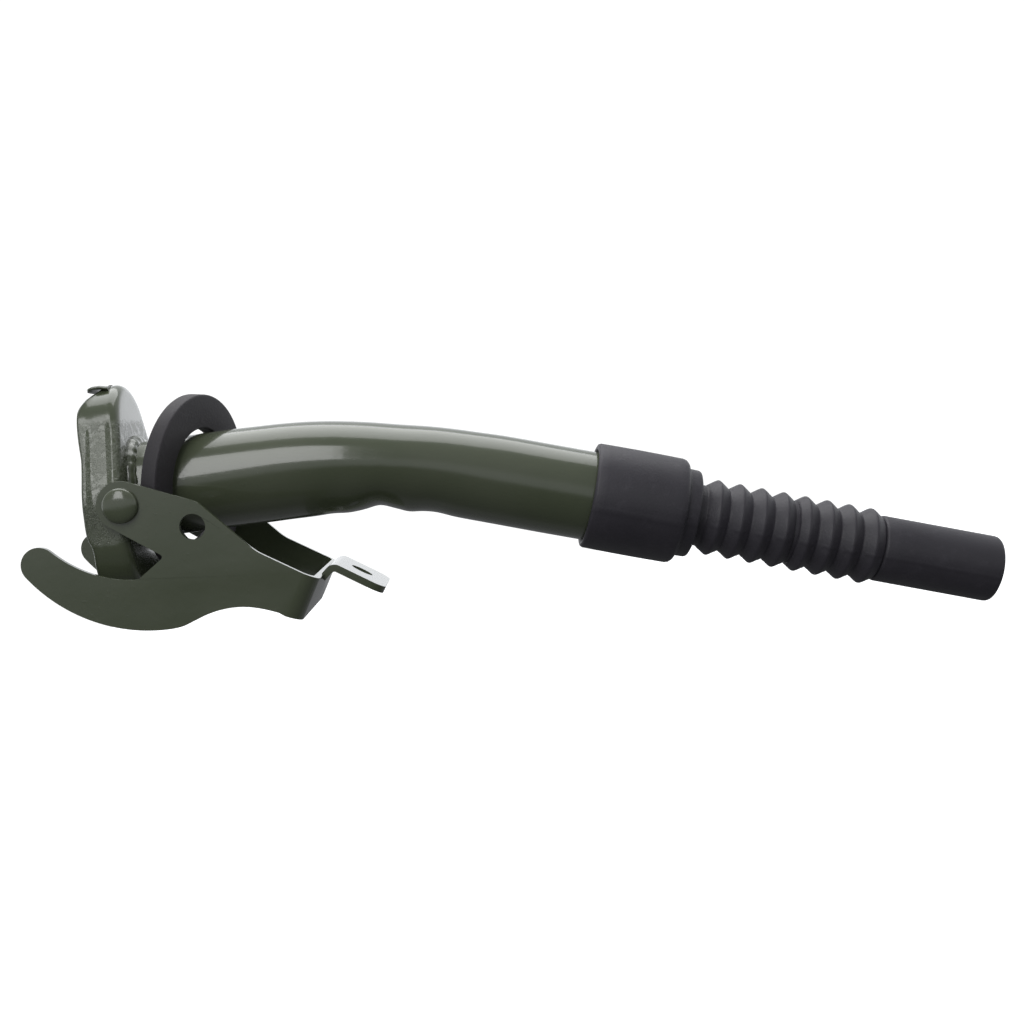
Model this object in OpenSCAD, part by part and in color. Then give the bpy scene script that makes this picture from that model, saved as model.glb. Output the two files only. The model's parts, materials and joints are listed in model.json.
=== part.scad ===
// Clamp-on pouring spout for a fuel can, with a cam lever and a flexible rubber nozzle.
// Origin: centre of the sealing face that meets the can's mouth. +X runs along the inlet, +Z is up.

/* [Clamp head] */
// Width across the straight sides of the head
head_w = 56; // [46:1:70]
// Height of the head above the tube axis
head_top = 34; // [28:1:42]
// Depth of the head below the tube axis
head_bottom = 34; // [28:1:42]
// Depth of the side wall, from the outer face to the open edge
head_depth = 12; // [9:0.5:18]
// Sheet thickness of the head
head_t = 1.5; // [1:0.1:2.5]
// Radius of the two lower corners
corner_r = 22; // [12:1:24]
// Radius where each side starts to taper
shoulder_r = 20; // [10:1:40]
// Taper of each upper side, from upright
side_taper = 26.6; // [15:0.1:35]
// Width of the catch lip at the top
lip_w = 18; // [10:1:26]
// Thickness of the sealing ring in the head
seal_t = 4.5; // [3:0.5:7]
// Outside diameter of the sealing ring
seal_od = 46; // [40:1:48]
// Inside diameter of the sealing ring
seal_id = 33; // [32:0.5:38]

/* [Pouring tube] */
// Outside diameter of the tube at the head
tube_od = 30.4; // [26:0.2:32]
// Outside diameter of the tube where the nozzle pushes on
tube_end_od = 28.4; // [24:0.2:31]
// Tube wall thickness
tube_wall = 1.2; // [0.8:0.1:2]
// Straight length from the head's outer face to the bend
straight_len = 41.8; // [34:0.2:80]
// Centreline radius of the bend
bend_r = 177; // [120:1:260]
// Angle of the bend, downwards
bend_angle = 19.4; // [10:0.2:35]
// Straight length from the bend to the tube's end
run_len = 62; // [48:0.5:100]
// Outside diameter of the breather tube
breather_od = 8; // [5:0.5:9]

/* [Rubber nozzle] */
// Length of tube inside the socket
insertion = 21.5; // [12:0.5:26]
// Outside diameter of the socket
socket_od = 33.5; // [32:0.5:40]
// Length of the socket
socket_len = 29.3; // [24:0.1:40]
// Outside diameter of the step behind the bellows
step_od = 28; // [25:0.5:31]
// Length of that step
step_len = 4.2; // [2:0.2:8]
// Outside diameter of the bellows ridges
ridge_od = 24.2; // [22:0.2:27]
// Outside diameter of the bellows valleys
valley_od = 19.4; // [18.6:0.2:21]
// Inside diameter of the socket's throat and the bellows
nozzle_id = 16.5; // [12:0.5:16.8]
// Number of ridges
ridge_count = 8; // [6:2:12]
// Distance from ridge to ridge
ridge_pitch = 7.04; // [6:0.1:9]
// Outside diameter of the plain tip
tip_od = 21; // [19:0.5:24]
// Inside diameter of the plain tip
tip_id = 17; // [12:0.5:18]
// Length of the plain tip
tip_len = 37.6; // [25:0.5:60]

/* [Cam lever] */
// Sheet thickness of the lever
lever_t = 1.9; // [1.5:0.1:3]
// Gap between the head's side and each lever plate
lever_gap = 0.6; // [0.4:0.1:1.5]
// Pivot centre ahead of the head's outer face
pivot_ahead = 0.1; // [0:0.1:3]
// Pivot centre below the tube axis
pivot_below = 3.4; // [0:0.1:8]
// Radius of the pivot rivets' shanks
rivet_r = 3; // [2:0.25:3.5]
// Radius of the lever plate around the pivot
eye_r = 7.2; // [6.9:0.1:9]
// Distance from the pivot to the handle's upper corner
handle_reach = 61.8; // [57:0.2:75]
// Radius of the round hole in each lever plate
lever_hole_r = 3.8; // [2:0.1:5]
// Radius of the cam edge inside the hook
cam_r = 37; // [36.4:0.2:37.6]
// Radius of the rounded hook tip
hook_tip_r = 5.3; // [5.1:0.1:5.5]
// Width of the thumb tab
tab_w = 30; // [20:1:44]
// Length of the thumb tab's sloping part
tab_len = 18.2; // [14:0.2:26]
// Radius of the hole in the thumb tab
tab_hole_r = 3.6; // [2:0.1:5]

/* [Loose rubber ring] */
// Outside diameter of the loose ring
ring_od = 57.5; // [50:0.5:57.5]
// Inside diameter of the loose ring
ring_id = 36.2; // [36:0.2:42]
// Thickness of the loose ring
ring_t = 5; // [3:0.5:6]
// Distance from the head's outer face to the ring's centre
ring_at = 16.5; // [16:0.5:26]

/* [Hidden] */
$fn = 96;
fit = 0.05;
far = 200;
paint = [0.34, 0.37, 0.32];
rubber = [0.25, 0.24, 0.26];
gasket = [0.16, 0.15, 0.16];
zinc = [0.62, 0.63, 0.62];

// Head
face_x = seal_t + head_t;
edge_x = face_x - head_depth;
half_w = head_w / 2;
shoulder_z = -shoulder_r * tan(side_taper / 2);
crown_r = (half_w * cos(side_taper) - head_top * sin(side_taper)) / (1 - sin(side_taper));
crown_z = head_top - crown_r;
corner_z = corner_r - head_bottom;
corner_y = half_w - corner_r;
crown_edge = 5;
lip_reach = 10.2;
edge_top = 0.82;
crown_step = 0.96;
weld_r = 2.4;

// Tube and the run after the bend
tube_r = tube_od / 2;
end_r = tube_end_od / 2;
tube_start = 1;
bend_x = face_x + straight_len;
run_x = bend_x + bend_r * sin(bend_angle);
run_z = -bend_r * (1 - cos(bend_angle));
neck_len = 6;
lap = 0.4;
skin = 0.02;
breather_r = breather_od / 2;
breather_wall = 0.8;
breather_gap = 0.6;
breather_z = min(tube_r, end_r) - tube_wall - breather_r - breather_gap;
breather_start = 8;
breather_stop = 8;
saddle_len = 6;
strainer_start = 1.6;
rim_len = 4;
rim_t = 1;
mesh_pitch = 3;
mesh_r = 1.1;
gauze_t = 0.6;

// Rubber nozzle, measured along the run
socket_at = run_len - insertion;
step_at = socket_at + socket_len;
bellows_at = step_at + step_len;
ridge_lead = 6.2;
first_ridge = bellows_at + ridge_lead;
last_ridge = first_ridge + (ridge_count - 1) * ridge_pitch;
tip_at = last_ridge + ridge_pitch / 2;
valley_len = 1.6;
ridge_land = 1.4;
middle_at = first_ridge + (ridge_count / 2 - 0.5) * ridge_pitch - valley_len / 2;
middle_stop = middle_at + valley_len;

// Lever, measured from the pivot
pivot_x = face_x + pivot_ahead;
pivot_z = -pivot_below;
plate_in = half_w + lever_gap;
plate_out = plate_in + lever_t;
top_corner = polar(handle_reach, -29.6);
low_corner = polar(handle_reach + 1, -41.9);
kink_low = polar(0.675 * handle_reach, -27.7);
kink_high = polar(22.2, -5.8);
notch_apex = polar(19.5, -59);
notch_low = polar(22.3, -86.2);
cam_c = [4.8, 14.65];
belly_c = [9.35, 10.5];
belly_r = 48.65;
centre_gap = norm(belly_c - cam_c);
near_r = cam_r + hook_tip_r;
far_r = belly_r - hook_tip_r;
tip_turn = acos((near_r * near_r + centre_gap * centre_gap - far_r * far_r) / (2 * near_r * centre_gap));
tip_dir = 360 + angle_of(belly_c - cam_c) - tip_turn;
hook_tip = cam_c + polar(near_r, tip_dir);
belly_end = belly_c + polar(belly_r, 273);
hole_at = [19.75, -9.35];
tab_t = 2.2;
tab_root = top_corner + polar(2.2, 160);
tab_top = top_corner + [2.9, 3.3];
tab_slope = 35;
tab_end = tab_top + polar(tab_len, -tab_slope);
ear_r = rivet_r + 1.5;
dome_r = 5.25;
dome_base = 1.5;
dome_h = 1.5;

// Loose ring
ring_yaw = 17.5;
ring_pitch = 11;
ring_drop = 0.9;

function polar(r, a) = [r * cos(a), r * sin(a)];
function angle_of(v) = atan2(v[1], v[0]);
function arc(c, r, a0, a1, n = 16) = [for (i = [0:n]) c + polar(r, a0 + (a1 - a0) * i / n)];
function flip(pts) = [for (i = [len(pts) - 1:-1:0]) [-pts[i][0], pts[i][1]]];
function unit(v) = v / norm(v);
function left(v) = [-v[1], v[0]];

// Right half of the head's outline, in Y and Z, moved in by a sheet thickness
function head_side(inset) = concat(
    arc([corner_y, corner_z], corner_r - inset, -90, 0),
    arc([half_w - shoulder_r, shoulder_z], shoulder_r - inset, 0, side_taper, 8),
    arc([0, crown_z], crown_r - inset, side_taper, 90));

function lever_outline() = concat(
    arc([0, 0], eye_r, angle_of(kink_high) + acos(eye_r / norm(kink_high)),
        360 + angle_of(notch_apex) - acos(eye_r / norm(notch_apex)), 24),
    [notch_apex],
    arc(cam_c, cam_r, 360 + angle_of(notch_low - cam_c), tip_dir, 20),
    arc(hook_tip, hook_tip_r, tip_dir - 180, 360 + angle_of(hook_tip - belly_c), 20),
    arc(belly_c, belly_r, 360 + angle_of(hook_tip - belly_c), 273, 24),
    handle_underside(),
    [top_corner, kink_low, kink_high]);

// Shallow arch from the belly to the handle's lower corner
function handle_underside(rise = 4.2, n = 16) = [for (i = [1:n])
    belly_end + (low_corner - belly_end) * i / n
    + left(unit(low_corner - belly_end)) * rise * sin(180 * i / n)];

// Cross-section of a folded strip whose upper side runs through the points a, b, c
function strip(a, b, c, t) =
    let (na = -left(unit(b - a)), nc = -left(unit(c - b)), half = (angle_of(b - a) - angle_of(c - b)) / 2)
    [a, b, c, c + nc * t, b + unit(na + nc) * t / cos(half), a + na * t];

module along_x(start, stop, r) {
    translate([start, 0, 0])
        rotate([0, 90, 0])
            cylinder(h = stop - start, r = r);
}

module pipe(start, stop, r, bore) {
    difference() {
        along_x(start, stop, r);
        along_x(start - 1, stop + 1, bore);
    }
}

module slab(y0, y1) {
    translate([0, y1, 0])
        rotate([90, 0, 0])
            linear_extrude(height = y1 - y0)
                children();
}

module in_run() {
    translate([run_x, 0, run_z])
        rotate([0, bend_angle, 0])
            children();
}

module at_pivot() {
    translate([pivot_x, 0, pivot_z])
        children();
}

// Curved length of pipe, a hair thicker than the straight ends that run into it
module bent_pipe(r, bore, offset_z = 0) {
    translate([bend_x, 0, -bend_r])
        rotate([90, 0, 0])
            rotate([0, 0, 90 - bend_angle])
                rotate_extrude(angle = bend_angle, $fn = 180)
                    translate([bend_r + offset_z, 0])
                        difference() {
                            circle(r = r + skin, $fn = 64);
                            circle(r = bore - skin, $fn = 64);
                        }
}

module head_solid(inset, start, stop) {
    side = head_side(inset);
    translate([start, 0, 0])
        rotate([90, 0, 90])
            linear_extrude(height = stop - start)
                polygon(concat(side, flip(side)));
}

// Side view of the head: the open edge is cut back at the crown
module head_profile() {
    slab(-far, far)
        polygon([[face_x + 1, -far], [edge_x, -far], [edge_x, edge_top * head_top],
                 [face_x - crown_edge, crown_step * head_top], [face_x - crown_edge, far],
                 [face_x + 1, far]]);
}

module head_ears() {
    for (side = [-1, 1])
        slab(side > 0 ? half_w - head_t : -half_w, side > 0 ? half_w : head_t - half_w) {
            translate([pivot_x, pivot_z])
                circle(r = ear_r);
            translate([face_x - head_t, pivot_z - ear_r])
                square([pivot_ahead + head_t, 2 * ear_r]);
        }
}

module head_shell() {
    color(paint)
        difference() {
            union() {
                intersection() {
                    difference() {
                        head_solid(0, edge_x, face_x);
                        head_solid(head_t, edge_x - 1, face_x - head_t);
                    }
                    head_profile();
                }
                head_ears();
                translate([face_x - lip_reach, -lip_w / 2, head_top - head_t])
                    cube([lip_reach - crown_edge + 2, lip_w, head_t]);
            }
            along_x(0, face_x + 1, tube_r + fit);
            for (side = [-1, 1])
                at_pivot()
                    slab(side > 0 ? half_w - head_t - 1 : -half_w - 1, side > 0 ? half_w + 1 : head_t - half_w + 1)
                        circle(r = rivet_r);
        }
}

module mouth_seal() {
    color(gasket)
        pipe(0, seal_t, seal_od / 2, seal_id / 2);
}

module strainer_rim() {
    color(zinc)
        pipe(strainer_start, strainer_start + rim_len, tube_r - tube_wall - fit, tube_r - tube_wall - rim_t);
}

module strainer_gauze() {
    gauze_r = tube_r - tube_wall - rim_t - fit;
    rings = floor((gauze_r - mesh_r - 0.6) / mesh_pitch);
    color(zinc)
        translate([strainer_start + 1, 0, 0])
            rotate([0, 90, 0])
                linear_extrude(height = gauze_t)
                    difference() {
                        circle(r = gauze_r);
                        circle(r = mesh_r, $fn = 16);
                        for (ring = [1:rings], i = [1:6 * ring])
                            rotate(i * 60 / ring)
                                translate([ring * mesh_pitch, 0])
                                    circle(r = mesh_r, $fn = 16);
                    }
}

module pour_tube() {
    bore = tube_r - tube_wall;
    end_bore = end_r - tube_wall;
    color(paint)
        union() {
            pipe(tube_start, bend_x + lap, tube_r, bore);
            bent_pipe(tube_r, bore);
            in_run()
                rotate([0, 90, 0])
                    rotate_extrude()
                        polygon([[bore, -lap], [tube_r, -lap], [end_r, neck_len], [end_r, run_len],
                                 [end_bore, run_len], [end_bore, neck_len]]);
        }
}

module weld_bead() {
    color(paint)
        translate([face_x, 0, 0])
            rotate([0, 90, 0])
                rotate_extrude()
                    polygon(concat([[tube_r + fit, 0]],
                                   arc([tube_r + fit, 0], weld_r, 0, 90, 8)));
}

module breather_tube() {
    bore = breather_r - breather_wall;
    color(zinc)
        union() {
            translate([0, 0, breather_z])
                pipe(breather_start, bend_x + lap, breather_r, bore);
            bent_pipe(breather_r, bore, breather_z);
            in_run()
                translate([0, 0, breather_z])
                    pipe(-lap, run_len - breather_stop, breather_r, bore);
        }
}

// Block that fills the space between the breather tube and the wall above it
module saddle(start, wall_r) {
    intersection() {
        difference() {
            translate([start, -breather_r / 2, breather_z])
                cube([saddle_len, breather_r, far]);
            translate([0, 0, breather_z])
                along_x(start - 1, start + saddle_len + 1, breather_r + fit);
        }
        along_x(start, start + saddle_len, wall_r - fit);
    }
}

module breather_saddle_inlet() {
    color(zinc)
        saddle(breather_start + saddle_len, tube_r - tube_wall);
}

module breather_saddle_outlet() {
    color(zinc)
        in_run()
            saddle(run_len - breather_stop - 2 * saddle_len, end_r - tube_wall);
}

module clamp_lever() {
    color(paint)
        at_pivot()
            difference() {
                union() {
                    slab(-plate_out, -plate_in)
                        polygon(lever_outline());
                    slab(plate_in, plate_out)
                        polygon(lever_outline());
                    slab(-plate_in - 0.5, plate_in + 0.5)
                        polygon([top_corner, low_corner,
                                 low_corner + left(unit(top_corner - low_corner)) * lever_t,
                                 top_corner + left(unit(top_corner - low_corner)) * lever_t]);
                    slab(-tab_w / 2, tab_w / 2)
                        polygon(strip(tab_root, tab_top, tab_end, tab_t));
                }
                slab(-far, far)
                    circle(r = rivet_r + fit);
                translate([hole_at[0], 0, hole_at[1]])
                    slab(-far, far)
                        circle(r = lever_hole_r);
                tab_mid = (tab_top + tab_end) / 2;
                translate([tab_mid[0], 0, tab_mid[1]])
                    rotate([0, tab_slope, 0])
                        translate([0, 0, -3 * tab_t])
                            cylinder(h = 6 * tab_t, r = tab_hole_r);
            }
}

// Shouldered rivet with a low dome, pointing along -Y
module rivet() {
    at_pivot()
        rotate([90, 0, 0])
            rotate_extrude()
                polygon(concat(
                    [[0, half_w - head_t], [rivet_r, half_w - head_t], [rivet_r, plate_out + fit],
                     [dome_r, plate_out + fit], [dome_r, plate_out + dome_base]],
                    [for (i = [1:8]) [dome_r * cos(90 * i / 8), plate_out + dome_base + dome_h * sin(90 * i / 8)]]));
}

module pivot_rivet_near() {
    color(paint)
        rivet();
}

module pivot_rivet_far() {
    color(paint)
        mirror([0, 1, 0])
            rivet();
}

module spare_seal() {
    color(gasket)
        translate([face_x + ring_at, 0, -ring_drop])
            rotate([0, ring_pitch, -ring_yaw])
                pipe(-ring_t / 2, ring_t / 2, ring_od / 2, ring_id / 2);
}

module nozzle_socket() {
    color(rubber)
        in_run()
            difference() {
                union() {
                    along_x(socket_at, step_at, socket_od / 2);
                    along_x(step_at, bellows_at, step_od / 2);
                }
                along_x(socket_at - 1, run_len, end_r + fit);
                along_x(run_len - 1, bellows_at + 1, nozzle_id / 2);
            }
}

// Half section of one ridge, with a short land on top
function ridge(at) =
    let (foot = (ridge_pitch - valley_len) / 2)
    [[at - foot, valley_od / 2], [at - ridge_land / 2, ridge_od / 2],
     [at + ridge_land / 2, ridge_od / 2], [at + foot, valley_od / 2]];

// Stretch of the bellows between two places along the run, with the ridges first to last
module bellows(start, stop, first, last) {
    outside = concat([[start, valley_od / 2]],
                     [for (i = [first:last]) each ridge(first_ridge + i * ridge_pitch)],
                     [[stop, valley_od / 2]]);
    in_run()
        rotate([0, 90, 0])
            rotate_extrude()
                polygon([for (p = concat([[start, nozzle_id / 2]], outside, [[stop, nozzle_id / 2]])) [p[1], p[0]]]);
}

module bellows_rear() {
    color(rubber)
        bellows(bellows_at, middle_at, 0, ridge_count / 2 - 1);
}

module bellows_middle() {
    color(rubber)
        in_run()
            pipe(middle_at, middle_stop, valley_od / 2, nozzle_id / 2);
}

module bellows_front() {
    color(rubber)
        bellows(middle_stop, tip_at, ridge_count / 2, ridge_count - 1);
}

module nozzle_tip() {
    color(rubber)
        in_run()
            pipe(tip_at, tip_at + tip_len, tip_od / 2, tip_id / 2);
}

head_shell();
mouth_seal();
strainer_rim();
strainer_gauze();
pour_tube();
weld_bead();
breather_tube();
breather_saddle_inlet();
breather_saddle_outlet();
clamp_lever();
pivot_rivet_near();
pivot_rivet_far();
spare_seal();
nozzle_socket();
bellows_rear();
bellows_middle();
bellows_front();
nozzle_tip();
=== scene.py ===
import bpy
import bmesh
import json
from math import sin, cos, tan, pi, radians, sqrt, atan2, acos, degrees, exp
from mathutils import Vector, Matrix
from mathutils.geometry import tessellate_polygon


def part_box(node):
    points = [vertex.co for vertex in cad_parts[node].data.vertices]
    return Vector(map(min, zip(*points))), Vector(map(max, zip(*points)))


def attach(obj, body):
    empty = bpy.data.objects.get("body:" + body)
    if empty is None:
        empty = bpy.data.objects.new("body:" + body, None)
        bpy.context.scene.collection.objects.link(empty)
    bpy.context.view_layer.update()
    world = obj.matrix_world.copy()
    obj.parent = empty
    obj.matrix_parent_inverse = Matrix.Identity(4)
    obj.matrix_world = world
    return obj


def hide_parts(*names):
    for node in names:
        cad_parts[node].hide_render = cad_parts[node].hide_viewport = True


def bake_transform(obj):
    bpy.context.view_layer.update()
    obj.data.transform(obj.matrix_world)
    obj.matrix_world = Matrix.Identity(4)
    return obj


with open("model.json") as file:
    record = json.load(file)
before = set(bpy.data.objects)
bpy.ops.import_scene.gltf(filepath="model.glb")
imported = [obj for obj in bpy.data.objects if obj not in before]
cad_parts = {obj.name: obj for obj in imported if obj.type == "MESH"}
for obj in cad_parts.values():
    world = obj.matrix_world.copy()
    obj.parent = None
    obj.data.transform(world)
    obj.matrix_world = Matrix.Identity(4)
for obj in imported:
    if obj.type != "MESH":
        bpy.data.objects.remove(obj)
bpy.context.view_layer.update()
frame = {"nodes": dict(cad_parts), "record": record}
record = frame["record"]
mm = 0.001

# Places that the frame gives
mounts = {m["name"]: m for m in record["mounts"]}
joints = {j["name"]: j for j in record["behaviour"]["joints"]}


def toMm(point):
    return Vector(point) / mm


faceX = toMm(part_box("weld_bead")[0]).x
pivot = toMm(joints["lever_hinge"]["pos_m"])
runDir = Vector(mounts["filler_tip"]["axis"]).normalized()
runUp = Vector((-runDir.z, 0, runDir.x))
tipLength = mounts["filler_tip"]["dims"]["length_mm"]
tipRadius = mounts["filler_tip"]["dims"]["r_mm"]
bendAngle = atan2(-runDir.z, runDir.x)

# ---------------------------------------------------------------- camera
camera = {"aim": (120.0, 0, -25.0), "distance": 400, "lens": 44.38, "lift": 3.2, "roll": 9.0, "aside": 16.4}


def makeCamera(c):
    data = bpy.data.cameras.new("mainCamera")
    cam = bpy.data.objects.new("mainCamera", data)
    bpy.context.collection.objects.link(cam)
    roll, lift = radians(c["roll"]), radians(c["lift"])
    right = Vector((cos(roll), 0, -sin(roll)))
    up = Vector((sin(roll), 0, cos(roll)))
    look = Vector((0, 1, 0)) * cos(lift) - up * sin(lift)
    camUp = right.cross(look)
    cam.matrix_world = Matrix((
        (right.x, camUp.x, -look.x, 0),
        (right.y, camUp.y, -look.y, 0),
        (right.z, camUp.z, -look.z, 0),
        (0, 0, 0, 1)))
    cam.location = (Vector(c["aim"]) - look * c["distance"] - right * c["aside"]) * mm
    data.lens = c["lens"]
    data.shift_x = c["aside"] / c["distance"] * c["lens"] / 36  # the framing sits a little right of the axis
    data.clip_start = 0.01
    data.clip_end = 20
    bpy.context.scene.camera = cam


makeCamera(camera)
print("camera placed")


# ---------------------------------------------------------------- shader maths
class Wire:
    def __init__(self, kit, socket):
        self.kit = kit
        self.socket = socket

    def math(self, operation, first, second=0.0):
        return self.kit.make("ShaderNodeMath", {"operation": operation}, {0: first, 1: second})

    def __add__(self, other):
        return self.math("ADD", self, other)

    def __radd__(self, other):
        return self.math("ADD", other, self)

    def __sub__(self, other):
        return self.math("SUBTRACT", self, other)

    def __rsub__(self, other):
        return self.math("SUBTRACT", other, self)

    def __mul__(self, other):
        return self.math("MULTIPLY", self, other)

    def __rmul__(self, other):
        return self.math("MULTIPLY", other, self)

    def __truediv__(self, other):
        return self.math("DIVIDE", self, other)

    def __pow__(self, other):
        return self.math("POWER", self, other)

    def __abs__(self):
        return self.math("ABSOLUTE", self)


class Finish:
    def __init__(self, name, **fixed):
        self.material = bpy.data.materials.new(name)
        self.material.use_nodes = True
        self.tree = self.material.node_tree
        self.tree.nodes.clear()
        self.shader = self.tree.nodes.new("ShaderNodeBsdfPrincipled")
        out = self.tree.nodes.new("ShaderNodeOutputMaterial")
        self.tree.links.new(self.shader.outputs[0], out.inputs[0])
        for socket, value in fixed.items():
            self.shader.inputs[socket.replace("_", " ")].default_value = value

    def make(self, kind, settings=None, sockets=None, out=0):
        made = self.tree.nodes.new(kind)
        for key, value in (settings or {}).items():
            if key == "stops":
                ramp = made.color_ramp.elements
                for place, shade in zip(range(len(value)), value):
                    stop = ramp[place] if place < 2 else ramp.new(shade[0])
                    stop.position = shade[0]
                    stop.color = (shade[1], shade[1], shade[1], 1)
            else:
                setattr(made, key, value)
        for key, value in (sockets or {}).items():
            if isinstance(value, Wire):
                self.tree.links.new(value.socket, made.inputs[key])
            else:
                made.inputs[key].default_value = value
        return Wire(self, made.outputs[out])

    def plug(self, socket, wire):
        self.tree.links.new(wire.socket, self.shader.inputs[socket])

    def place(self):
        return self.make("ShaderNodeTexCoord", out=3)

    def noise(self, scale, detail=2.0, rough=0.5, where=None):
        return self.make("ShaderNodeTexNoise", None,
                         {"Vector": where or self.place(), "Scale": scale, "Detail": detail, "Roughness": rough})

    def ramp(self, wire, *stops):
        return self.make("ShaderNodeValToRGB", {"stops": stops}, {0: wire})

    def mix(self, amount, first, second):
        return self.make("ShaderNodeMix", {"data_type": "RGBA"}, {0: amount, 6: first, 7: second}, out=2)

    def bump(self, height, strength, distance):
        self.plug("Normal", self.make("ShaderNodeBump", None,
                                      {"Height": height, "Strength": strength, "Distance": distance}))


paint = {"deep": (0.066, 0.080, 0.046, 1), "pale": (0.082, 0.095, 0.060, 1), "rough": (0.16, 0.30),
         "peelScale": 330, "nibScale": 900, "peelDepth": 0.00012}


def paintFinish(name, panel=False):
    f = Finish(name, IOR=1.5, Coat_Weight=0.6, Coat_Roughness=0.06)
    cloud = f.noise(28, 3)
    peel = f.noise(paint["peelScale"], 2)
    nib = f.ramp(f.noise(paint["nibScale"], 1), (0.70, 0), (0.78, 1))
    tone = f.ramp(cloud, (0.35, 0), (0.65, 1))
    height = peel * 0.55 + cloud * 0.6 + nib * 0.25
    rough = paint["rough"][0] + (paint["rough"][1] - paint["rough"][0]) * (cloud * 0.5 + nib * 0.5)
    colour = f.mix(tone, paint["deep"], paint["pale"])
    if panel:
        where = f.make("ShaderNodeSeparateXYZ", None, {0: f.place()}, out=2)
        grain = f.ramp(f.noise(420, 4, 0.75), (0.45, 0), (0.6, 1))
        inPanel = f.ramp(where / 0.1 + 0.5, (0.35, 0), (0.37, 1), (0.71, 1), (0.73, 0))
        height = height + grain * inPanel * 3.2
        rough = rough + inPanel * grain * 0.25
    f.plug("Base Color", colour)
    f.plug("Roughness", rough)
    f.bump(height, 0.55, paint["peelDepth"])
    return f.material


rubber = {"deep": (0.022, 0.020, 0.026, 1), "bloom": (0.056, 0.052, 0.064, 1)}


def rubberFinish(name, deep, bloom, rough=(0.42, 0.62), grainScale=1300, depth=0.00014):
    f = Finish(name, IOR=1.5)
    cloud = f.noise(45, 4, 0.6)
    grain = f.noise(grainScale, 3, 0.6)
    scuff = f.ramp(f.noise(210, 5, 0.75), (0.52, 0), (0.75, 1))
    f.plug("Base Color", f.mix(cloud * 0.7 + scuff * 0.35, deep, bloom))
    f.plug("Roughness", rough[0] + (rough[1] - rough[0]) * (0.6 * cloud + 0.4 * grain))
    f.bump(grain * 0.7 + scuff * 0.5, 0.6, depth)
    return f.material


def steelFinish(name):
    f = Finish(name, Metallic=1.0)
    cloud = f.noise(160, 4, 0.6)
    f.plug("Base Color", f.mix(cloud, (0.45, 0.45, 0.43, 1), (0.68, 0.68, 0.66, 1)))
    f.plug("Roughness", 0.3 + 0.25 * cloud)
    f.bump(f.noise(1200, 3), 0.3, 0.00004)
    return f.material


greenPaint = paintFinish("greenPaint")
headPaint = paintFinish("headPaint", panel=True)
nozzleRubber = rubberFinish("nozzleRubber", rubber["deep"], rubber["bloom"])
ringRubber = rubberFinish("ringRubber", (0.016, 0.014, 0.017, 1), (0.034, 0.030, 0.036, 1), (0.5, 0.7))
platedSteel = steelFinish("platedSteel")
print("materials made")


# ---------------------------------------------------------------- mesh helpers
def makeMesh(name, points, faces, material, sharp=None):
    mesh = bpy.data.meshes.new(name)
    mesh.from_pydata([Vector(p) * mm for p in points], [], faces)
    bm = bmesh.new()
    bm.from_mesh(mesh)
    bmesh.ops.remove_doubles(bm, verts=bm.verts, dist=1e-6)
    bmesh.ops.recalc_face_normals(bm, faces=bm.faces)
    bm.to_mesh(mesh)
    bm.free()
    mesh.polygons.foreach_set("use_smooth", [True] * len(mesh.polygons))
    if sharp:
        mesh.set_sharp_from_angle(angle=radians(sharp))
    mesh.materials.append(material)
    piece = bpy.data.objects.new(name, mesh)
    bpy.context.collection.objects.link(piece)
    return piece


def loft(rings, closeEnds=False, join=False, start=0):
    # faces between rings of equal length; join closes the last ring on the first
    n = len(rings[0])
    points = [p for ring in rings for p in ring]
    faces = []
    last = len(rings) if join else len(rings) - 1
    for k in range(last):
        a = start + k * n
        b = start + (k + 1) % len(rings) * n
        for i in range(n):
            j = (i + 1) % n
            faces.append((a + i, a + j, b + j, b + i))
    if closeEnds:
        faces.append(tuple(start + i for i in range(n))[::-1])
        faces.append(tuple(start + (len(rings) - 1) * n + i for i in range(n)))
    return points, faces


def addLoft(points, faces, rings, **how):
    more, moreFaces = loft(rings, start=len(points), **how)
    points.extend(more)
    faces.extend(moreFaces)


def smoothStep(a, b, x):
    t = min(1.0, max(0.0, (x - a) / (b - a)))
    return t * t * (3 - 2 * t)


def hump(x, middle, width):
    return exp(-((x - middle) / width) ** 2)


def curveThrough(stations, x):
    # smooth curve through rows of (place, value, value...)
    if x <= stations[0][0]:
        return stations[0][1:]
    for k in range(len(stations) - 1):
        if x <= stations[k + 1][0]:
            break
    else:
        return stations[-1][1:]
    p1, p2 = stations[k], stations[k + 1]
    p0 = stations[k - 1] if k > 0 else p1
    p3 = stations[k + 2] if k + 2 < len(stations) else p2
    t = (x - p1[0]) / (p2[0] - p1[0])
    out = []
    for i in range(1, len(p1)):
        a, b, c, d = p0[i], p1[i], p2[i], p3[i]
        out.append(b + 0.5 * t * (c - a + t * (2 * a - 5 * b + 4 * c - d + t * (3 * (b - c) + d - a))))
    return out


def polar(r, deg):
    return Vector((r * cos(radians(deg)), r * sin(radians(deg))))


def angleOf(v):
    return degrees(atan2(v[1], v[0]))


def arc(c, r, a0, a1, n=16):
    return [Vector(c) + polar(r, a0 + (a1 - a0) * i / n) for i in range(n + 1)]


def addBevel(piece, width, segments=3, angle=35):
    b = piece.modifiers.new("edges", "BEVEL")
    b.width = width * mm
    b.segments = segments
    b.limit_method = "ANGLE"
    b.angle_limit = radians(angle)
    b.harden_normals = False
    return piece


def place(piece, body, slot, *nodes):
    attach(piece, body)
    if nodes:
        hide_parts(*nodes)


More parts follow.
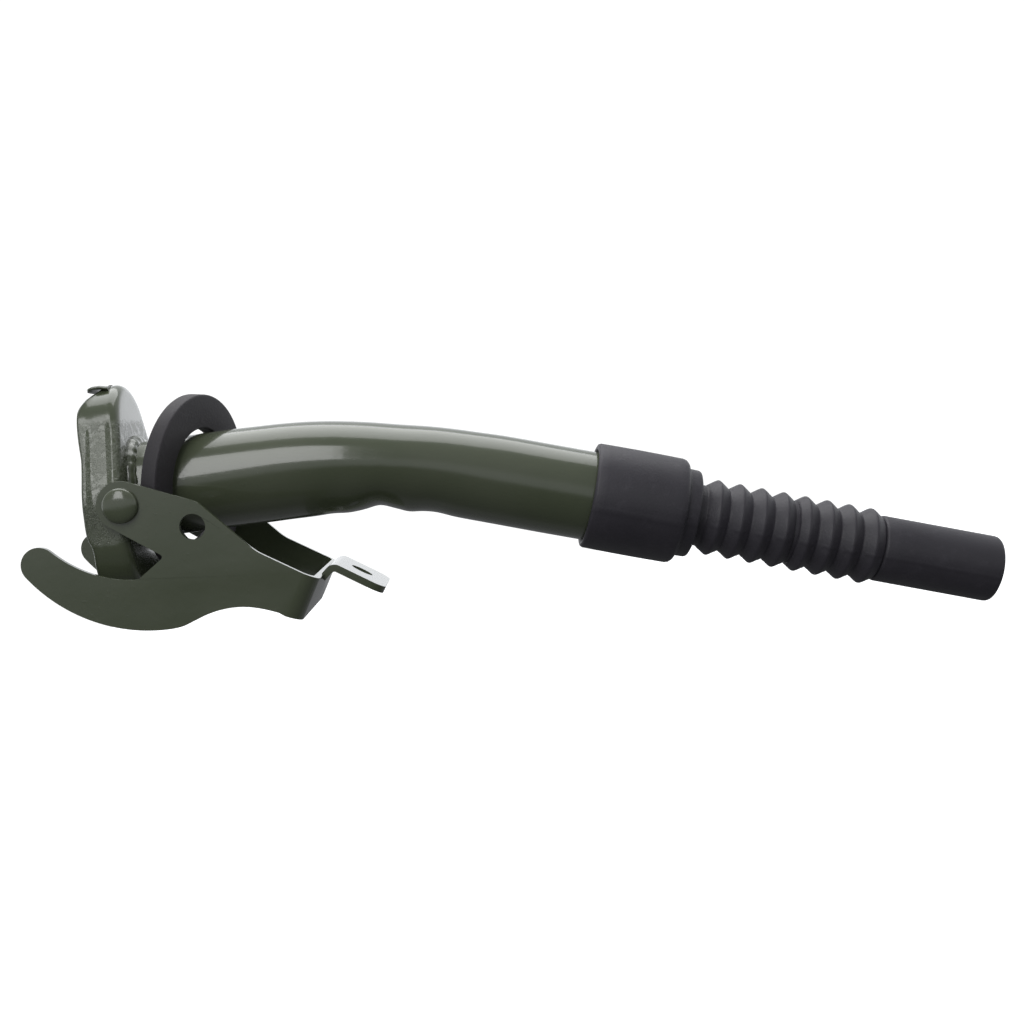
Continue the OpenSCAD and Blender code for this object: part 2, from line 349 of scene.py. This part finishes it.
# ---------------------------------------------------------------- pouring tube
tube = {"radius": 15.2, "endRadius": 14.2, "wall": 1.2, "bendRadius": 177, "straight": 41.8, "insertion": 21.5,
        # distance from the head, half height above and below the centreline, half width
        "stations": [(-5, 15.2, 15.2, 15.2), (9, 15.1, 15.4, 15.2), (32, 14.7, 16.0, 15.3), (44, 14.2, 16.3, 15.4),
                     (54, 13.8, 16.2, 15.6), (62, 13.4, 15.4, 15.8), (70, 13.0, 14.9, 15.9), (81, 12.6, 14.2, 15.8),
                     (92, 12.9, 14.2, 15.2), (101, 13.2, 14.4, 14.7), (113, 13.7, 14.4, 14.4), (129, 13.8, 14.4, 14.3),
                     (144, 13.9, 14.3, 14.2), (150, 14.1, 14.2, 14.2), (175, 14.2, 14.2, 14.2)],
        # wrinkles on the inside of the bend: distance, depth, width
        "wrinkles": [(64.6, 0.5, 4.5), (76, -1.2, 4.2), (86, 0.55, 3.2), (95.5, -0.35, 4.5)]}

bendX = faceX + tube["straight"]
bendLength = tube["bendRadius"] * bendAngle
runStart = Vector((bendX + tube["bendRadius"] * sin(bendAngle), 0, -tube["bendRadius"] * (1 - cos(bendAngle))))


def onTube(s):
    # centre, direction and up at a distance along the centreline from the head's face
    if s < tube["straight"]:
        return Vector((faceX + s, 0, 0)), Vector((1, 0, 0)), Vector((0, 0, 1))
    a = (s - tube["straight"]) / tube["bendRadius"]
    if a < bendAngle:
        r = tube["bendRadius"]
        return Vector((bendX + r * sin(a), 0, -r * (1 - cos(a)))), Vector((cos(a), 0, -sin(a))), Vector((sin(a), 0, cos(a)))
    far = s - tube["straight"] - bendLength
    return runStart + runDir * far, runDir, runUp


def tubeRing(s, inset, n=96):
    centre, ahead, up = onTube(s)
    top, low, side = curveThrough(tube["stations"], s)
    ring = []
    for i in range(n):
        a = 2 * pi * i / n
        high = cos(a)
        reach = (top if high > 0 else low) - inset
        if high < 0:
            under = smoothStep(0.25, 0.95, -high)
            for at, depth, width in tube["wrinkles"]:
                skew = 1.0 * sin(a) * (1 if depth > 0 else -1)
                reach += depth * hump(s + skew, at, width) * under
        ring.append(centre + up * (reach * high) + Vector((0, (side - inset) * sin(a), 0)))
    return ring




def makeTube():
    stop = tube["straight"] + bendLength + 62
    start = -5
    steps = 150
    outer = [tubeRing(start + (stop - start) * k / steps, 0) for k in range(steps + 1)]
    inner = [tubeRing(stop + (start - stop) * k / 60, tube["wall"]) for k in range(61)]
    points, faces = loft(outer + inner, join=True)
    piece = makeMesh("pouring_tube", points, faces, greenPaint, sharp=50)
    place(piece, "spout", "green_paint", "pour_tube")


makeTube()
print("tube made")

# ---------------------------------------------------------------- clamp head
head = {"width": 56, "top": 34, "bottom": 34, "depth": 12, "sheet": 1.5, "corner": 22, "shoulder": 20, "taper": 26.6,
        "edge": 2.9, "lipWidth": 18, "points": 180,
        "depthAt": [(-34, 11.9), (-22, 11.6), (-15, 11.0), (-11, 12.1), (-4, 12.0), (3, 11.7), (11, 11.6),
                    (16, 12.2), (20, 12.6), (24, 12.7), (27, 12.2), (30, 10.0), (32, 7), (34, 5.2)],
        "panel": {"low": -15, "high": 23, "recess": 0.5, "front": 2.8, "back": 9.4}}


def headOutline(inset):
    h = head
    half = h["width"] / 2
    t = radians(h["taper"])
    crown = (half * cos(t) - h["top"] * sin(t)) / (1 - sin(t))
    right = (arc((half - h["corner"], h["corner"] - h["bottom"]), h["corner"] - inset, -90, 0, 24)
             + arc((half - h["shoulder"], -h["shoulder"] * tan(t / 2)), h["shoulder"] - inset, 0, h["taper"], 10)
             + arc((0, h["top"] - crown), crown - inset, h["taper"], 90, 24))
    return right + [Vector((-p.x, p.y)) for p in reversed(right)]


def rayOutline(outline, a):
    d = Vector((sin(a), cos(a)))
    best = 0
    for k in range(len(outline)):
        p, q = outline[k], outline[(k + 1) % len(outline)]
        e = q - p
        den = d.x * e.y - d.y * e.x
        if abs(den) < 1e-9:
            continue
        t = (p.x * e.y - p.y * e.x) / den
        u = (p.x * d.y - p.y * d.x) / den
        if t > 0 and -1e-6 <= u <= 1 + 1e-6:
            best = max(best, t)
    return best


def headRing(inset, back, flare=0.0):
    # ring in Y and Z at a distance back from the outer face; back may be a function of height
    outline = headOutline(inset)
    ring = []
    for i in range(head["points"]):
        a = 2 * pi * i / head["points"]
        r = rayOutline(outline, a)
        y, z = r * sin(a), r * cos(a)
        depth = back(z) if callable(back) else back
        p = head["panel"]
        inPanel = (smoothStep(p["low"], p["low"] + 3, z) * (1 - smoothStep(p["high"] - 3, p["high"], z))
                   * smoothStep(p["front"] - 0.5, p["front"] + 0.6, depth)
                   * (1 - smoothStep(p["back"] - 0.6, p["back"] + 0.5, depth)))
        push = flare - p["recess"] * inPanel
        scale = 1 + push / r
        ring.append(Vector((faceX - depth, y * scale, z * scale)))
    return ring


def edgeDepth(z):
    return curveThrough(head["depthAt"], z)[0]


def share(amount):
    e = head["edge"]
    return lambda z: e + (edgeDepth(z) - e) * amount


def circleRing(r, back):
    n = head["points"]
    return [Vector((faceX - back, r * sin(2 * pi * i / n), r * cos(2 * pi * i / n))) for i in range(n)]


def makeHead():
    e, t = head["edge"], head["sheet"]
    hole = tube["radius"] + 0.05
    rings = [circleRing(hole, 0), circleRing(hole + 2.5, -0.05)]
    # slightly domed face, then the rounded edge
    flat = headRing(e + 2.2, 0.05)
    near = circleRing(hole + 2.5, -0.05)
    for k in (0.33, 0.66):
        rings.append([a.lerp(b, k) for a, b in zip(near, flat)])
    rings.append(flat)
    for k in range(7):
        a = pi / 2 * k / 6
        rings.append(headRing(e * (1 - sin(a)), e * (1 - cos(a)) + 0.05))
    for k in range(1, 15):
        rings.append(headRing(0, share(k / 15), 0.25 * smoothStep(0.75, 1, k / 15)))
    for k in range(5):
        a = pi * k / 4
        rings.append(headRing(t / 2 * (1 - cos(a)), lambda z, a=a: edgeDepth(z) + t / 2 * sin(a) - t / 2, 0.3))
    for k in range(6, 0, -1):
        rings.append(headRing(t, share(k / 7), 0.1))
    inner = e - t
    for k in range(4):
        a = pi / 2 * k / 3
        rings.append(headRing(t + inner * (1 - cos(a)), t + inner * (1 - sin(a))))
    rings.append(circleRing(hole, t))
    points, faces = loft(rings, join=True)
    addCatchLip(points, faces)
    for side in (-1, 1):
        addEar(points, faces, side)
    piece = makeMesh("clamp_head", points, faces, headPaint, sharp=40)
    place(piece, "spout", "green_paint", "head_shell")


def addCatchLip(points, faces):
    # flat tongue at the crown with a slightly curled end and rounded edges
    half, t = head["lipWidth"] / 2, head["sheet"] - 0.1
    top = head["top"] + 0.2
    rings = []
    for k in range(13):
        s = k / 12
        x = faceX - 3.6 - 6.6 * s
        z = top - t / 2 - 0.6 * (1 - smoothStep(0, 0.45, s)) - 0.5 * smoothStep(0.7, 1, s)
        w = half - 1.0 * (1 - sqrt(max(0.0, 1 - max(0.0, (s - 0.85) / 0.15) ** 2)))
        ring = []
        for i in range(24):
            a = 2 * pi * i / 24
            y = w * (1 if cos(a) >= 0 else -1) * abs(cos(a)) ** 0.35
            ring.append(Vector((x, y, z + t / 2 * (1 if sin(a) >= 0 else -1) * abs(sin(a)) ** 0.6)))
        rings.append(ring)
    addLoft(points, faces, rings, closeEnds=True)


def addEar(points, faces, side):
    t = head["sheet"]
    r = 6.8
    shape = arc((pivot.x, pivot.z), r, 90, -90, 20) + [Vector((faceX - 4, pivot.z - r)), Vector((faceX - 4, pivot.z + r))]
    y0 = side * (head["width"] / 2 - 0.02)
    y1 = side * (head["width"] / 2 - t)
    ease = side * 0.25
    middle = sum(shape, Vector((0, 0))) / len(shape)
    rings = []
    for y, shrink in ((y0, 0.04), (y0 - ease, 0), (y1 + ease, 0), (y1, 0.04)):
        rings.append([Vector((p.x + (middle.x - p.x) * shrink, y, p.y + (middle.y - p.y) * shrink)) for p in shape])
    addLoft(points, faces, rings, closeEnds=True)


makeHead()
print("head made")


# ---------------------------------------------------------------- weld bead
def makeWeld():
    n, lumps = 144, 26
    rings = []
    for k in range(9):
        a = pi / 2 * k / 8
        ring = []
        for i in range(n):
            turn = 2 * pi * i / n
            size = 2.3 + 0.28 * abs(sin(lumps * turn / 2)) + 0.15 * sin(3 * turn + 1)
            r = tube["radius"] - 0.3 + size * cos(a)
            ring.append(Vector((faceX - 0.1 + size * sin(a), r * sin(turn), r * cos(turn))))
        rings.append(ring)
    back = [Vector((faceX - 0.1, (tube["radius"] - 0.3) * sin(2 * pi * i / n), (tube["radius"] - 0.3) * cos(2 * pi * i / n)))
            for i in range(n)]
    points, faces = loft(rings + [back], join=True)
    place(makeMesh("weld_fillet", points, faces, greenPaint, sharp=60), "spout", "green_paint", "weld_bead")


makeWeld()

# ---------------------------------------------------------------- cam lever
lever = {"inside": 28.6, "sheet": 1.9, "eye": 7.2, "reach": 61.8, "hole": 3.8, "holeAt": (19.75, -9.35), "pinHole": 3.05,
         "camRadius": 37, "camCentre": (4.8, 14.65), "bellyRadius": 48.65, "bellyCentre": (9.35, 10.5), "hookTip": 5.3,
         "bend": 5.0, "tabWidth": 30, "tabLength": 18.2, "tabSheet": 2.2, "tabSlope": 35, "tabHole": 3.6, "tabCorner": 4.5}


def leverCorners():
    v = lever
    return {"top": polar(v["reach"], -29.6), "low": polar(v["reach"] + 1, -41.9),
            "kinkLow": polar(0.675 * v["reach"], -27.7), "kinkHigh": polar(22.2, -5.8),
            "apex": polar(19.5, -59), "notch": polar(22.3, -86.2)}


def roundCorner(before, corner, after, r, n=6):
    a, b = (before - corner).normalized(), (after - corner).normalized()
    half = acos(max(-1, min(1, a.dot(b)))) / 2
    reach = r / tan(half)
    start, stop = corner + a * reach, corner + b * reach
    centre = corner + (a + b).normalized() * (r / sin(half))
    a0, a1 = angleOf(start - centre), angleOf(stop - centre)
    turn = (a1 - a0 + 180) % 360 - 180
    return arc(centre, r, a0, a0 + turn, n)


def leverOutline():
    v, c = lever, leverCorners()
    cam, belly = Vector(v["camCentre"]), Vector(v["bellyCentre"])
    gap = belly - cam
    near, far = v["camRadius"] + v["hookTip"], v["bellyRadius"] - v["hookTip"]
    turn = degrees(acos((near ** 2 + gap.length ** 2 - far ** 2) / (2 * near * gap.length)))
    tipDir = 360 + angleOf(gap) - turn
    tip = cam + polar(near, tipDir)
    bellyStart = 360 + angleOf(tip - belly)
    bellyEnd = belly + polar(v["bellyRadius"], 273)
    upper = angleOf(c["kinkHigh"]) + degrees(acos(v["eye"] / c["kinkHigh"].length))
    lower = 360 + angleOf(c["apex"]) - degrees(acos(v["eye"] / c["apex"].length))
    camStart = cam + polar(v["camRadius"], 360 + angleOf(c["notch"] - cam))
    w = outward(c)
    lowBend, topBend = c["low"] - lowEdge() * v["bend"], c["top"] - w * v["bend"]
    chord = lowBend - bellyEnd
    rise = Vector((-chord.y, chord.x)).normalized() * 4.2
    under = [bellyEnd + chord * (i / 18) + rise * sin(pi * (i / 18) * 0.96) for i in range(1, 18)]
    eyeStart = polar(v["eye"], upper)
    eyeStop = polar(v["eye"], lower)
    return (arc((0, 0), v["eye"], upper, lower, 28)
            + roundCorner(eyeStop, c["apex"], camStart, 0.8)
            + roundCorner(c["apex"], camStart, cam + polar(v["camRadius"], tipDir + 20), 0.7, 4)
            + arc(cam, v["camRadius"], 360 + angleOf(c["notch"] - cam) - 1.5, tipDir, 24)
            + arc(tip, v["hookTip"], tipDir - 180, bellyStart, 20)[1:]
            + arc(belly, v["bellyRadius"], bellyStart, 270, 28)[1:]
            + roundCorner(belly + polar(v["bellyRadius"], 268), bellyEnd, under[3], 12)
            + under[3:] + [lowBend, topBend]
            + roundCorner(topBend, c["kinkLow"], c["kinkHigh"], 16, 8)
            + roundCorner(c["kinkLow"], c["kinkHigh"], eyeStart, 6, 6))


def lowEdge():
    return polar(1, -27)


def outward(c):
    e = (c["top"] - c["low"]).normalized()
    return Vector((e.y, -e.x))


def atPivot(p, y):
    return Vector((pivot.x + p[0], y, pivot.z + p[1]))


def plateFaces(points, faces, outline, holes, y0, y1, openFrom):
    # flat plate with round holes; the edge that starts at openFrom is left open for the web
    loops = [outline] + holes
    total = sum(len(l) for l in loops)
    start = len(points)
    for y in (y0, y1):
        points.extend(atPivot(p, y) for l in loops for p in l)
    for tri in tessellate_polygon([[Vector((p.x, p.y, 0)) for p in l] for l in loops]):
        faces.append(tuple(start + i for i in tri))
        faces.append(tuple(start + total + i for i in reversed(tri)))
    first = 0
    for number, l in enumerate(loops):
        for i in range(len(l)):
            j = (i + 1) % len(l)
            if number == 0 and i == openFrom:
                continue
            faces.append((start + first + i, start + first + j, start + total + first + j, start + total + first + i))
        first += len(l)


def makeLever():
    v, c = lever, leverCorners()
    outline = leverOutline()
    w = outward(c)
    lowBend, topBend = c["low"] - lowEdge() * v["bend"], c["top"] - w * v["bend"]
    openFrom = min(range(len(outline)), key=lambda i: (outline[i] - lowBend).length)
    holes = [arc(v["holeAt"], v["hole"], 0, 360, 40)[:-1], arc((0, 0), v["pinHole"], 0, 360, 32)[:-1]]
    points, faces = [], []
    inY, outY = v["inside"], v["inside"] + v["sheet"]
    for side in (-1, 1):
        plateFaces(points, faces, outline, holes, side * outY, side * inY, openFrom)
    # the web runs from the near plate round two bends to the far plate
    path = []
    for k in range(9):
        a = pi / 2 * k / 8
        for r, layer in ((v["bend"], 0), (v["bend"] - v["sheet"], 1)):
            path.append((layer, r * sin(a), outY - v["bend"] + r * cos(a)))
    outerPath = [(x, -y) for l, x, y in path if l == 0] + [(x, y) for l, x, y in reversed(path) if l == 0]
    innerPath = [(x, -y) for l, x, y in path if l == 1] + [(x, y) for l, x, y in reversed(path) if l == 1]
    rings = []
    for (xo, yo), (xi, yi) in zip(outerPath, innerPath):
        u = lowEdge()
        rings.append([atPivot(topBend + w * xo, yo), atPivot(lowBend + u * xo, yo),
                      atPivot(lowBend + u * xi, yi), atPivot(topBend + w * xi, yi)])
    addLoft(points, faces, rings)
    addTab(points, faces, c)
    piece = makeMesh("hook_lever", points, faces, greenPaint)
    addBevel(piece, 0.38, 3, 42)
    piece.data.set_sharp_from_angle(angle=radians(60))
    place(piece, "lever", "green_paint", "clamp_lever")


def addTab(points, faces, c):
    v = lever
    t, half = v["tabSheet"], v["tabWidth"] / 2
    root = c["top"] + Vector((-1.5, -0.3))
    crest = c["top"] + Vector((2.9, 3.3))
    slope = polar(1, -v["tabSlope"])
    end = crest + slope * v["tabLength"]
    path = [root] + roundCorner(root, crest, end, 3.2, 8)
    rows = 9
    flatStart = path[-1]
    flat = (end - flatStart).length
    # joggle: a bent strip
    rings = []
    for k, p in enumerate(path):
        ahead = (path[min(k + 1, len(path) - 1)] - path[max(k - 1, 0)]).normalized()
        if k == len(path) - 1:
            ahead = slope
        down = Vector((ahead.y, -ahead.x)) * t
        upper = [atPivot(p, -half + 2 * half * i / rows) for i in range(rows + 1)]
        lower = [atPivot(p + down, half - 2 * half * i / rows) for i in range(rows + 1)]
        rings.append(upper + lower)
    n = len(rings[0])
    more, moreFaces = loft(rings, start=len(points))
    first = len(points)
    points.extend(more)
    faces.extend(moreFaces)
    faces.append(tuple(first + i for i in range(n))[::-1])
    # flat part with a hole and rounded outer corners
    r = v["tabCorner"]
    edge = [Vector((0, -half + 2 * half * i / rows)) for i in range(rows + 1)]
    shape = edge[::-1] + arc((flat - r, r - half), r, -90, 0, 8) + arc((flat - r, half - r), r, 0, 90, 8)
    hole = arc((flat - v["tabLength"] / 2, 0), v["tabHole"], 0, 360, 32)[:-1]
    down = Vector((slope.y, -slope.x)) * t
    loops = [shape, hole]
    total = len(shape) + len(hole)
    start = len(points)
    for drop in (Vector((0, 0)), down):
        points.extend(atPivot(flatStart + slope * p.x + drop, p.y) for l in loops for p in l)
    for tri in tessellate_polygon([[Vector((p.x, p.y, 0)) for p in l] for l in loops]):
        faces.append(tuple(start + i for i in tri))
        faces.append(tuple(start + total + i for i in reversed(tri)))
    for i in range(rows, len(shape)):
        j = (i + 1) % len(shape)
        faces.append((start + i, start + j, start + total + j, start + total + i))
    for i in range(len(hole)):
        j = (i + 1) % len(hole)
        a, b = start + len(shape) + i, start + len(shape) + j
        faces.append((a, b, b + total, a + total))


makeLever()
print("lever made")

# ---------------------------------------------------------------- pivot rivets
rivet = {"shank": 3.0, "dome": 5.2, "rim": 1.5, "height": 1.6}


def makeRivet(name, side, node):
    v = rivet
    inner = head["width"] / 2 - head["sheet"] + 0.05
    outer = lever["inside"] + lever["sheet"] + 0.05
    profile = [(0.01, inner), (v["shank"], inner), (v["shank"], outer),
               (v["dome"] - 0.45, outer), (v["dome"] - 0.1, outer + 0.15),
               (v["dome"], outer + 0.5), (v["dome"], outer + v["rim"] - 0.4)]
    for k in range(1, 9):
        a = pi / 2 * k / 8
        profile.append((v["dome"] * cos(a) ** 0.8 if k < 8 else 0.01, outer + v["rim"] - 0.4 + (v["height"] + 0.3) * sin(a)))
    n = 64
    rings = [[Vector((pivot.x + r * cos(2 * pi * i / n), side * y, pivot.z + r * sin(2 * pi * i / n))) for i in range(n)]
             for r, y in profile]
    points, faces = loft(rings, closeEnds=True)
    place(makeMesh(name, points, faces, greenPaint, sharp=35), "spout", "green_paint", node)


makeRivet("near_rivet", -1, "pivot_rivet_near")
makeRivet("far_rivet", 1, "pivot_rivet_far")

# ---------------------------------------------------------------- loose ring
looseRing = {"outer": 28.65, "inner": 18.0, "thick": 5, "yaw": 17.5, "pitch": 11, "at": 16.5, "drop": 0.9, "edge": 0.6}


def makeLooseRing():
    v = looseRing
    turn = Matrix.Rotation(radians(-v["yaw"]), 3, "Z") @ Matrix.Rotation(radians(v["pitch"]), 3, "Y")
    centre = Vector((faceX + v["at"], 0, -v["drop"]))
    h, e = v["thick"] / 2, v["edge"]
    section = []
    for cx, cr, a0 in ((h - e, v["outer"] - e, 0), (e - h, v["outer"] - e, 90),
                       (e - h, v["inner"] + e, 180), (h - e, v["inner"] + e, 270)):
        for k in range(5):
            a = radians(a0 + 90 * k / 4)
            section.append((cx + e * cos(a) if a0 in (0, 180) else cx - e * sin(a - pi / 2) if a0 == 90 else cx + e * sin(a - 1.5 * pi),
                            cr + e * sin(a) if a0 in (0, 180) else cr + e * cos(a - pi / 2) if a0 == 90 else cr - e * cos(a - 1.5 * pi)))
    n = 128
    rings = []
    for x, r in section:
        ring = []
        for i in range(n):
            a = 2 * pi * i / n
            warp = 0.25 * sin(2 * a + 0.6)
            ring.append(centre + turn @ Vector((x + warp, r * sin(a), r * cos(a))))
        rings.append(ring)
    points, faces = loft(rings, join=True)
    place(makeMesh("loose_rubber_ring", points, faces, ringRubber, sharp=60), "loose_ring", "gasket_rubber", "spare_seal")


makeLooseRing()
print("rivets and ring made")

# ---------------------------------------------------------------- rubber nozzle
nozzle = {"socketAt": 40.5, "socketLength": 29.3, "socketRadius": 16.75, "stepRadius": 14.0, "stepLength": 4.2,
          "ridgeRadius": 12.1, "valleyRadius": 9.7, "lead": 6.2, "ridges": 8, "pitch": 7.04, "bore": 8.25, "tipBore": 8.5,
          "round": 64 * 2, "seamTurn": -102.5}


def onRun(s):
    return runStart + runDir * s


def runRing(s, radius, n=128):
    # radius may depend on the turn, which starts at the top and goes towards +Y
    ring = []
    for i in range(n):
        a = 2 * pi * i / n
        r = radius(a) if callable(radius) else radius
        ring.append(onRun(s) + runUp * (r * cos(a)) + Vector((0, r * sin(a), 0)))
    return ring


def seam(a, size, width=0.03):
    # mould parting line on both sides, a little below the middle
    turn = radians(nozzle["seamTurn"])
    out = 0
    for side in (turn, turn + pi):
        d = (a - side + pi) % (2 * pi) - pi
        out += size * exp(-(d / width) ** 2)
    low = (a - turn) % (2 * pi) > pi
    return out - (size * 0.8 if low else 0)


def makeRun(name, profile, material, seamSize):
    rings = []
    for s, r, mark in profile:
        rings.append(runRing(s, (lambda a, r=r: r + seam(a, seamSize)) if mark else r))
    points, faces = loft(rings, join=True)
    return makeMesh(name, points, faces, material, sharp=70)


def socketProfile():
    v = nozzle
    a, b = v["socketAt"], v["socketAt"] + v["socketLength"]
    r, c = v["socketRadius"], v["socketAt"] + v["socketLength"] + v["stepLength"]
    out = [(a + 21.5, tube["endRadius"] + 0.1, 0), (a + 1.2, tube["endRadius"] + 0.1, 0), (a + 0.3, tube["endRadius"] + 0.35, 0),
           (a, tube["endRadius"] + 0.9, 0), (a, r - 0.9, 0), (a + 0.25, r - 0.3, 1), (a + 0.9, r, 1)]
    out += [(a + 0.9 + (b - a - 3.1) * k / 10, r + 0.12 * sin(pi * k / 10), 1) for k in range(1, 11)]
    out += [(b - 1.2, r - 0.25, 1), (b - 0.45, r - 0.9, 1), (b, r - 2.0, 1), (b + 0.1, v["stepRadius"] + 0.4, 1),
            (b + 0.6, v["stepRadius"], 1), (c - 0.8, v["stepRadius"] - 0.1, 1), (c - 0.25, v["stepRadius"] - 0.35, 1),
            (c, v["stepRadius"] - 1.0, 0), (c, v["bore"], 0), (a + 21.5, v["bore"], 0)]
    return out


def bellowsProfile(start, stop, first, last):
    v = nozzle
    origin = v["socketAt"] + v["socketLength"] + v["stepLength"] + v["lead"]
    out = []
    steps = max(2, int((stop - start) / 0.32))
    for k in range(steps + 1):
        s = start + (stop - start) * k / steps
        phase = (s - origin) / v["pitch"]
        nearest = min(max(round(phase), first), last)
        d = abs(phase - nearest) * 2
        height = max(0, 1.06 - sqrt(d * d + 0.012)) / 0.95 if d < 1 else 0
        r = v["valleyRadius"] + (v["ridgeRadius"] - v["valleyRadius"]) * height
        out.append((s, r, 1 if r > v["valleyRadius"] + 1 else 0))
    out += [(stop, v["bore"], 0), (start, v["bore"], 0)]
    return out


def tipProfile(start):
    r, stop = tipRadius, start + tipLength
    out = [(start, nozzle["tipBore"], 0), (start, r - 0.8, 0), (start + 0.3, r - 0.2, 1), (start + 1, r, 1)]
    out += [(start + 1 + (tipLength - 2.2) * k / 8, r, 1) for k in range(1, 9)]
    out += [(stop - 0.6, r - 0.1, 1), (stop - 0.2, r - 0.4, 0), (stop, r - 0.8, 0), (stop, nozzle["tipBore"] + 0.5, 0),
            (stop - 0.4, nozzle["tipBore"], 0)]
    return out


def makeNozzle():
    v = nozzle
    place(makeRun("nozzle_sleeve", socketProfile(), nozzleRubber, 0.16), "spout", "nozzle_rubber", "nozzle_socket")
    rear = v["socketAt"] + v["socketLength"] + v["stepLength"]
    middle = rear + v["lead"] + (v["ridges"] / 2 - 0.5) * v["pitch"]
    front = rear + v["lead"] + (v["ridges"] - 0.5) * v["pitch"]
    gap = 0.8
    back = makeRun("bellows_back_half", bellowsProfile(rear, middle - gap, 0, v["ridges"] // 2 - 1), nozzleRubber, 0.14)
    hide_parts("bellows_rear")
    onRun(rear) * mm
    onRun(middle - gap) * mm
    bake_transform(back)
    centre = makeRun("bellows_centre", [(middle - gap, v["bore"], 0), (middle - gap, v["valleyRadius"], 0),
                                        (middle + gap, v["valleyRadius"], 0), (middle + gap, v["bore"], 0)], nozzleRubber, 0)
    place(centre, "nozzle_middle", "nozzle_rubber", "bellows_middle")
    foreProfile = bellowsProfile(middle + gap, front, v["ridges"] // 2, v["ridges"] - 1)
    fore = makeRun("bellows_front_half", foreProfile, nozzleRubber, 0.14)
    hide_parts("bellows_front")
    onRun(middle + gap) * mm
    onRun(front) * mm
    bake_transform(fore)
    place(makeRun("plain_tip", tipProfile(front), nozzleRubber, 0.12), "nozzle_end", "nozzle_rubber", "nozzle_tip")


makeNozzle()
print("nozzle made")

# ---------------------------------------------------------------- carried-over pieces
for node, material in (("mouth_seal", ringRubber), ("strainer_rim", platedSteel), ("strainer_gauze", platedSteel),
                       ("breather_tube", platedSteel), ("breather_saddle_inlet", platedSteel),
                       ("breather_saddle_outlet", platedSteel)):
    for slotOfNode in frame["nodes"][node].material_slots:
        slotOfNode.material = material

# ---------------------------------------------------------------- studio
studio = {"floorDrop": 350, "floorSize": 3.0, "front": 0.62, "behind": 1.25, "above": 0.6, "below": 0.14}


class Sky(Finish):
    def __init__(self, tree):
        self.tree = tree
        tree.nodes.clear()



def makeStudio():
    floorMat = Finish("paleFloor", Roughness=0.6, Emission_Color=(1, 1, 1, 1), Emission_Strength=0.8)
    floorMat.plug("Base Color", floorMat.mix(floorMat.noise(3, 2), (0.93, 0.93, 0.93, 1), (0.95, 0.95, 0.95, 1)))
    mesh = bpy.data.meshes.new("floor")
    s = studio["floorSize"]
    z = -studio["floorDrop"] * mm
    mesh.from_pydata([(-s, -s, z), (s, -s, z), (s, s, z), (-s, s, z)], [], [(0, 1, 2, 3)])
    mesh.materials.append(floorMat.material)
    floor = bpy.data.objects.new("floor", mesh)
    bpy.context.collection.objects.link(floor)
    floor.visible_diffuse = False
    floor.visible_glossy = False

    world = bpy.data.worlds.new("studioWorld")
    bpy.context.scene.world = world
    world.use_nodes = True
    sky = Sky(world.node_tree)
    axes = sky.make("ShaderNodeSeparateXYZ", None, {0: sky.make("ShaderNodeTexCoord", out=0)})
    up = Wire(sky, axes.socket.node.outputs[2])
    behind = Wire(sky, axes.socket.node.outputs[1])
    v = studio
    glow = sky.ramp(behind * 0.5 + 0.5, (0.46, v["front"]), (0.62, v["behind"]))
    glow = glow * sky.ramp(up * 0.5 + 0.5, (0.43, v["below"]), (0.50, 1), (0.60, 1), (0.72, v["above"]))
    soft = sky.make("ShaderNodeBackground", None, {"Color": (0.95, 0.97, 1.0, 1), "Strength": glow})
    seen = sky.make("ShaderNodeBackground", None, {"Color": (1, 1, 1, 1), "Strength": 1.1})
    path = sky.make("ShaderNodeLightPath")
    mixed = sky.make("ShaderNodeMixShader", None, {0: path, 1: soft, 2: seen})
    sky.tree.links.new(mixed.socket, sky.tree.nodes.new("ShaderNodeOutputWorld").inputs[0])

    addLight("overhead", (0.10, 0.30, 0.80), (0.10, 0.05, 0), 1.0, 0.8, 5)
    addLight("frontSoftbox", (-0.08, -0.50, 0.38), (0.04, 0, 0), 0.26, 0.5, 1.5)


def addLight(name, at, aim, width, height, power):
    data = bpy.data.lights.new(name, "AREA")
    data.shape = "RECTANGLE"
    data.size = width
    data.size_y = height
    data.energy = power
    light = bpy.data.objects.new(name, data)
    light.location = at
    light.rotation_mode = "QUATERNION"
    light.rotation_quaternion = (Vector(aim) - Vector(at)).to_track_quat("-Z", "Y")
    bpy.context.collection.objects.link(light)


makeStudio()
bpy.context.scene.view_settings.view_transform = "Standard"
print("studio made")
